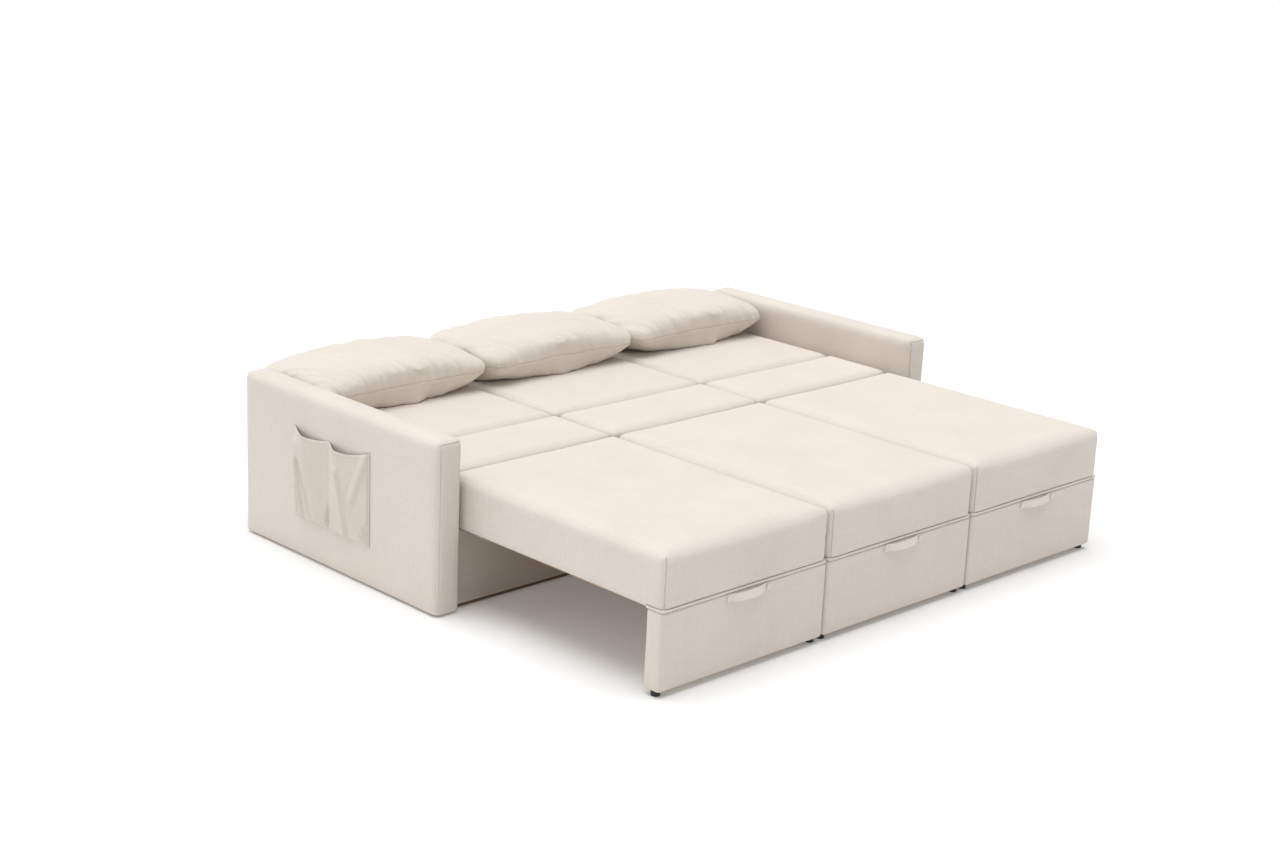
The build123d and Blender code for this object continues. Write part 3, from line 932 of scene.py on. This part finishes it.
def makePillow(unit, seed):  # two cloths sewn together along their edges, then blown up
    low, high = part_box(unit + "_pillow")
    size = high - low
    middle = (low + high) / 2
    start = Vector((seed * 5.3, seed * 2.1, 0.7))
    upper = addGrid("upper", pillow["cells"], 2)

    def layOut(p):  # a flat cloth with turned corners, crumpled a little inside its edge
        turn = pillow["cornerTurn"]
        reach = max(abs(p.x), abs(p.y))
        pull = reach / (abs(p.x) ** turn + abs(p.y) ** turn) ** (1 / turn) if reach else 1.0
        spot = Vector((p.x * pull * pillow["cut"].x / 2, p.y * pull * pillow["cut"].y / 2, 0))
        inside = (1 - p.x ** 2) * (1 - p.y ** 2)
        if inside > 1e-5:
            crumple = pillow["crumple"] * noise.noise(spot / pillow["crumpleLength"] + start)
            spot.z = pillow["lip"] + pillow["crown"] * inside ** 0.5 + crumple
        return spot

    reshape(upper, layOut)
    lower = copyPiece(upper, "lower", Vector())
    lower.data.transform(Matrix.Scale(-1, 4, Vector((0, 0, 1))))
    made = joinPieces([upper, lower], unit + "_pillow_cover")
    with editing(made):
        bpy.ops.mesh.select_all(action="SELECT")
        bpy.ops.mesh.remove_doubles(threshold=pillow["weld"])
    faceOutwards(made)
    sewn = made.vertex_groups.new(name="sewn")
    sewn.add([v.index for v in made.data.vertices if abs(v.co.z) < 1e-5], 1.0, "REPLACE")
    blowUp(made, pillow["pressure"], pillow["frames"], None, pillow["bending"])
    applyModifier(made, "even", "SMOOTH", factor=0.5, iterations=pillow["smoothing"])
    print("pillow blown up to", [round(s, 3) for s in made.dimensions])
    for side in (pillow["longSide"], pillow["shortSide"]):
        straighten(made, **side)
    points = [v.co for v in made.data.vertices]
    lowest = Vector(min(p[i] for p in points) for i in range(3))
    highest = Vector(max(p[i] for p in points) for i in range(3))

    def settle(p):  # fitted to its place, and flat where it lies on the pad
        x = (p.x - lowest.x) / (highest.x - lowest.x) - 0.5
        y = (p.y - lowest.y) / (highest.y - lowest.y) - 0.5
        if p.z > 0:
            rise = min(1.0, p.z / highest.z)
            turn = pillow["crownTurn"]
            inside = max(0.0, 1 - abs(2 * x) ** turn) * max(0.0, 1 - abs(2 * y) ** turn)
            crown = inside ** pillow["crownPower"]
            rise += pillow["evenShare"] * (crown - rise) * smoothStep(rise / pillow["evenRise"])
            rise += pillow["fullness"] * (math.sqrt(1 - (1 - rise) ** 2) - rise)
            z = pillow["seamHeight"] + (size.z - pillow["seamHeight"]) * rise
        else:
            sunk = p.z / lowest.z
            z = pillow["seamHeight"] * (1 - smoothStep(sunk / pillow["flatShare"]) ** pillow["flatTurn"])
        return Vector((middle.x + x * size.x, middle.y + y * size.y, low.z + z))

    reshape(made, settle)
    subdivideSmooth(made, 1)
    wrinkle(made, middle, size, low.z + pillow["seamHeight"], seed)
    sinkSewnEdge(made, pillow["seamWidth"], pillow["seamDepth"])
    reshape(made, lambda p: Vector((p.x, p.y, max(p.z, low.z))))
    shadeSmooth(made, 60)
    placePiece(made, unit + "_pillow", pillowLinen, "pillow_linen", unit + "_pillow")


def isSewn(vert):
    return any(member.weight > 0.99 for member in vert.groups)


def straighten(obj, along, across, reach, waist):  # evens out two facing sides of the sewn edge
    edge = [v.co.copy() for v in obj.data.vertices if isSewn(v) and abs(v.co[along]) < reach]
    for side in (-1, 1):
        rim = sorted((p[along], p[across] * side) for p in edge if p[across] * side > 0)
        spots = [spot for spot, far in rim]
        widest = max(far for spot, far in rim)
        for vert in obj.data.vertices:
            if vert.co[across] * side <= 0:
                continue
            spot = min(spots[-1], max(spots[0], vert.co[along]))
            after = min(len(rim) - 1, max(1, bisect(spots, spot)))
            (before, farBefore), (beyond, farBeyond) = rim[after - 1], rim[after]
            found = farBefore + (farBeyond - farBefore) * (spot - before) / (beyond - before)
            vert.co[across] *= (widest - waist * (1 - (spot / reach) ** 2)) / found
    obj.data.update()


def wrinkle(obj, middle, size, seamHeight, seed):
    places = []
    for vert in obj.data.vertices:
        away = vert.co - middle
        spot = Vector((
            (away.x + gather["slant"] * away.y) / gather["wide"], away.y / gather["long"], seed * 4.3
        ))
        inside = smoothStep((0.5 - abs(away.y) / size.y) / gather["fade"])
        share = 1 - (1 - gather["middleShare"]) * inside
        share *= smoothStep(abs(vert.co.z - seamHeight) / gather["clear"])
        if vert.co.z < seamHeight:
            share *= gather["lowShare"]
        fold = noise.noise(spot) + gather["finerShare"] * noise.noise(spot * gather["finer"])
        places.append(vert.co + vert.normal * gather["height"] * share * fold)
    setPlaces(obj, places)


def sinkSewnEdge(obj, width, depth):  # a fine groove along the edge where two cloths are sewn
    group = obj.vertex_groups["sewn"].index
    with editing(obj):
        bpy.ops.mesh.select_mode(type="EDGE")
        bpy.ops.mesh.select_all(action="DESELECT")
        mesh = bmesh.from_edit_mesh(obj.data)
        weights = mesh.verts.layers.deform.verify()
        line = [v for v in mesh.verts if v[weights].get(group, 0) > 0.99]
        places = kdtree.KDTree(len(line))
        for count, vert in enumerate(line):
            places.insert(vert.co, count)
        places.balance()
        for edge in mesh.edges:
            edge.select_set(all(v[weights].get(group, 0) > 0.99 for v in edge.verts))
        bmesh.update_edit_mesh(obj.data)
        bpy.ops.mesh.bevel(offset=width, segments=2, profile=1.0, affect="EDGES")
        mesh = bmesh.from_edit_mesh(obj.data)
        ring = [v for v in mesh.verts if places.find(v.co)[2] < width / 3]  # the middle of the bevel
        for vert, place in [(v, v.co - v.normal * depth) for v in ring]:
            vert.co = place
        bmesh.update_edit_mesh(obj.data)
    obj.vertex_groups.clear()


def dressCadNodes():
    for unit in units:
        for label, finish in (
            ("seat_frame", rawTimber), ("back_frame", rawTimber), ("back_legs", blackPlastic),
            ("front_panel_core", chipboard), ("hinge_brackets", hingeSteel), ("hinge_pins", hingeSteel),
        ):
            nodes[unit + "_" + label].material_slots[0].material = finish
    for side in ("left", "right"):
        nodes[side + "_arm_frame"].material_slots[0].material = rawTimber
    nodes["seat_rails"].material_slots[0].material = chipboard
    nodes["front_board"].material_slots[0].material = frontLaminate
    print("CAD nodes dressed")


makeSeats()
makePads()
makeArms()
makePanels()
makeWelts()
makeHandles()
for unit in units:
    makeFeet(unit + "_panel_feet", unit + "_front_feet", unit + "_seat")
makeFeet("arm_glides", "floor_glides", "base")
makePocket()
makeRearBoard()
for count, unit in enumerate(units):
    makePillow(unit, count + 1)
dressCadNodes()


# Stage, light and camera

stage = {"floorSize": 160.0, "floorTone": 0.80, "floorGlow": 0.11, "sky": 0.49}
overhead = {"strength": 2.15, "spread": 50.0, "way": Vector((0.05, 0.0, -1.0))}
rearLeft = {"strength": 0.65, "spread": 60.0, "way": Vector((0.50, -0.75, -0.45))}


def makeStage():
    deselectAll()
    bpy.ops.mesh.primitive_plane_add(size=stage["floorSize"])
    floor = bpy.context.object
    floor.name = "floor"
    white = tone(1.0, 1.0, 1.0)
    paper = Finish("floorPaper", 0.9, Emission_Color=white, Emission_Strength=stage["floorGlow"])
    paper.shader.inputs["Base Color"].default_value = tone(*(stage["floorTone"],) * 3)
    floor.data.materials.append(paper.material)
    world = bpy.data.worlds.new("studio")
    world.use_nodes = True
    world.node_tree.nodes["Background"].inputs["Color"].default_value = white
    world.node_tree.nodes["Background"].inputs["Strength"].default_value = stage["sky"]
    scene.world = world
    for name, light in (("overhead", overhead), ("rearLeft", rearLeft)):
        lamp = bpy.data.lights.new(name, "SUN")
        lamp.energy = light["strength"]
        lamp.angle = math.radians(light["spread"])
        hung = bpy.data.objects.new(name, lamp)
        hung.rotation_euler = light["way"].to_track_quat("-Z", "Y").to_euler()
        scene.collection.objects.link(hung)
    scene.view_settings.view_transform = "Standard"


view = {
    "place": Vector((-4.6231, -4.4755, 2.2384)), "azimuth": -44.757, "elevation": 16.354,
    "roll": 2.644, "focalPixels": 2125.2, "imageWidth": 1280, "sensor": 36.0,
}


def makeCamera():
    data = bpy.data.cameras.new("camera")
    data.sensor_width = view["sensor"]
    data.lens = view["focalPixels"] / view["imageWidth"] * view["sensor"]
    camera = bpy.data.objects.new("camera", data)
    azimuth = math.radians(view["azimuth"])
    elevation = math.radians(view["elevation"])
    ahead = Vector((
        -math.sin(azimuth) * math.cos(elevation),
        math.cos(azimuth) * math.cos(elevation),
        -math.sin(elevation),
    ))
    level = ahead.to_track_quat("-Z", "Y")
    roll = Quaternion((0, 0, 1), math.radians(view["roll"]))
    camera.location = view["place"]
    camera.rotation_mode = "QUATERNION"
    camera.rotation_quaternion = level @ roll
    scene.collection.objects.link(camera)
    scene.camera = camera


makeStage()
makeCamera()
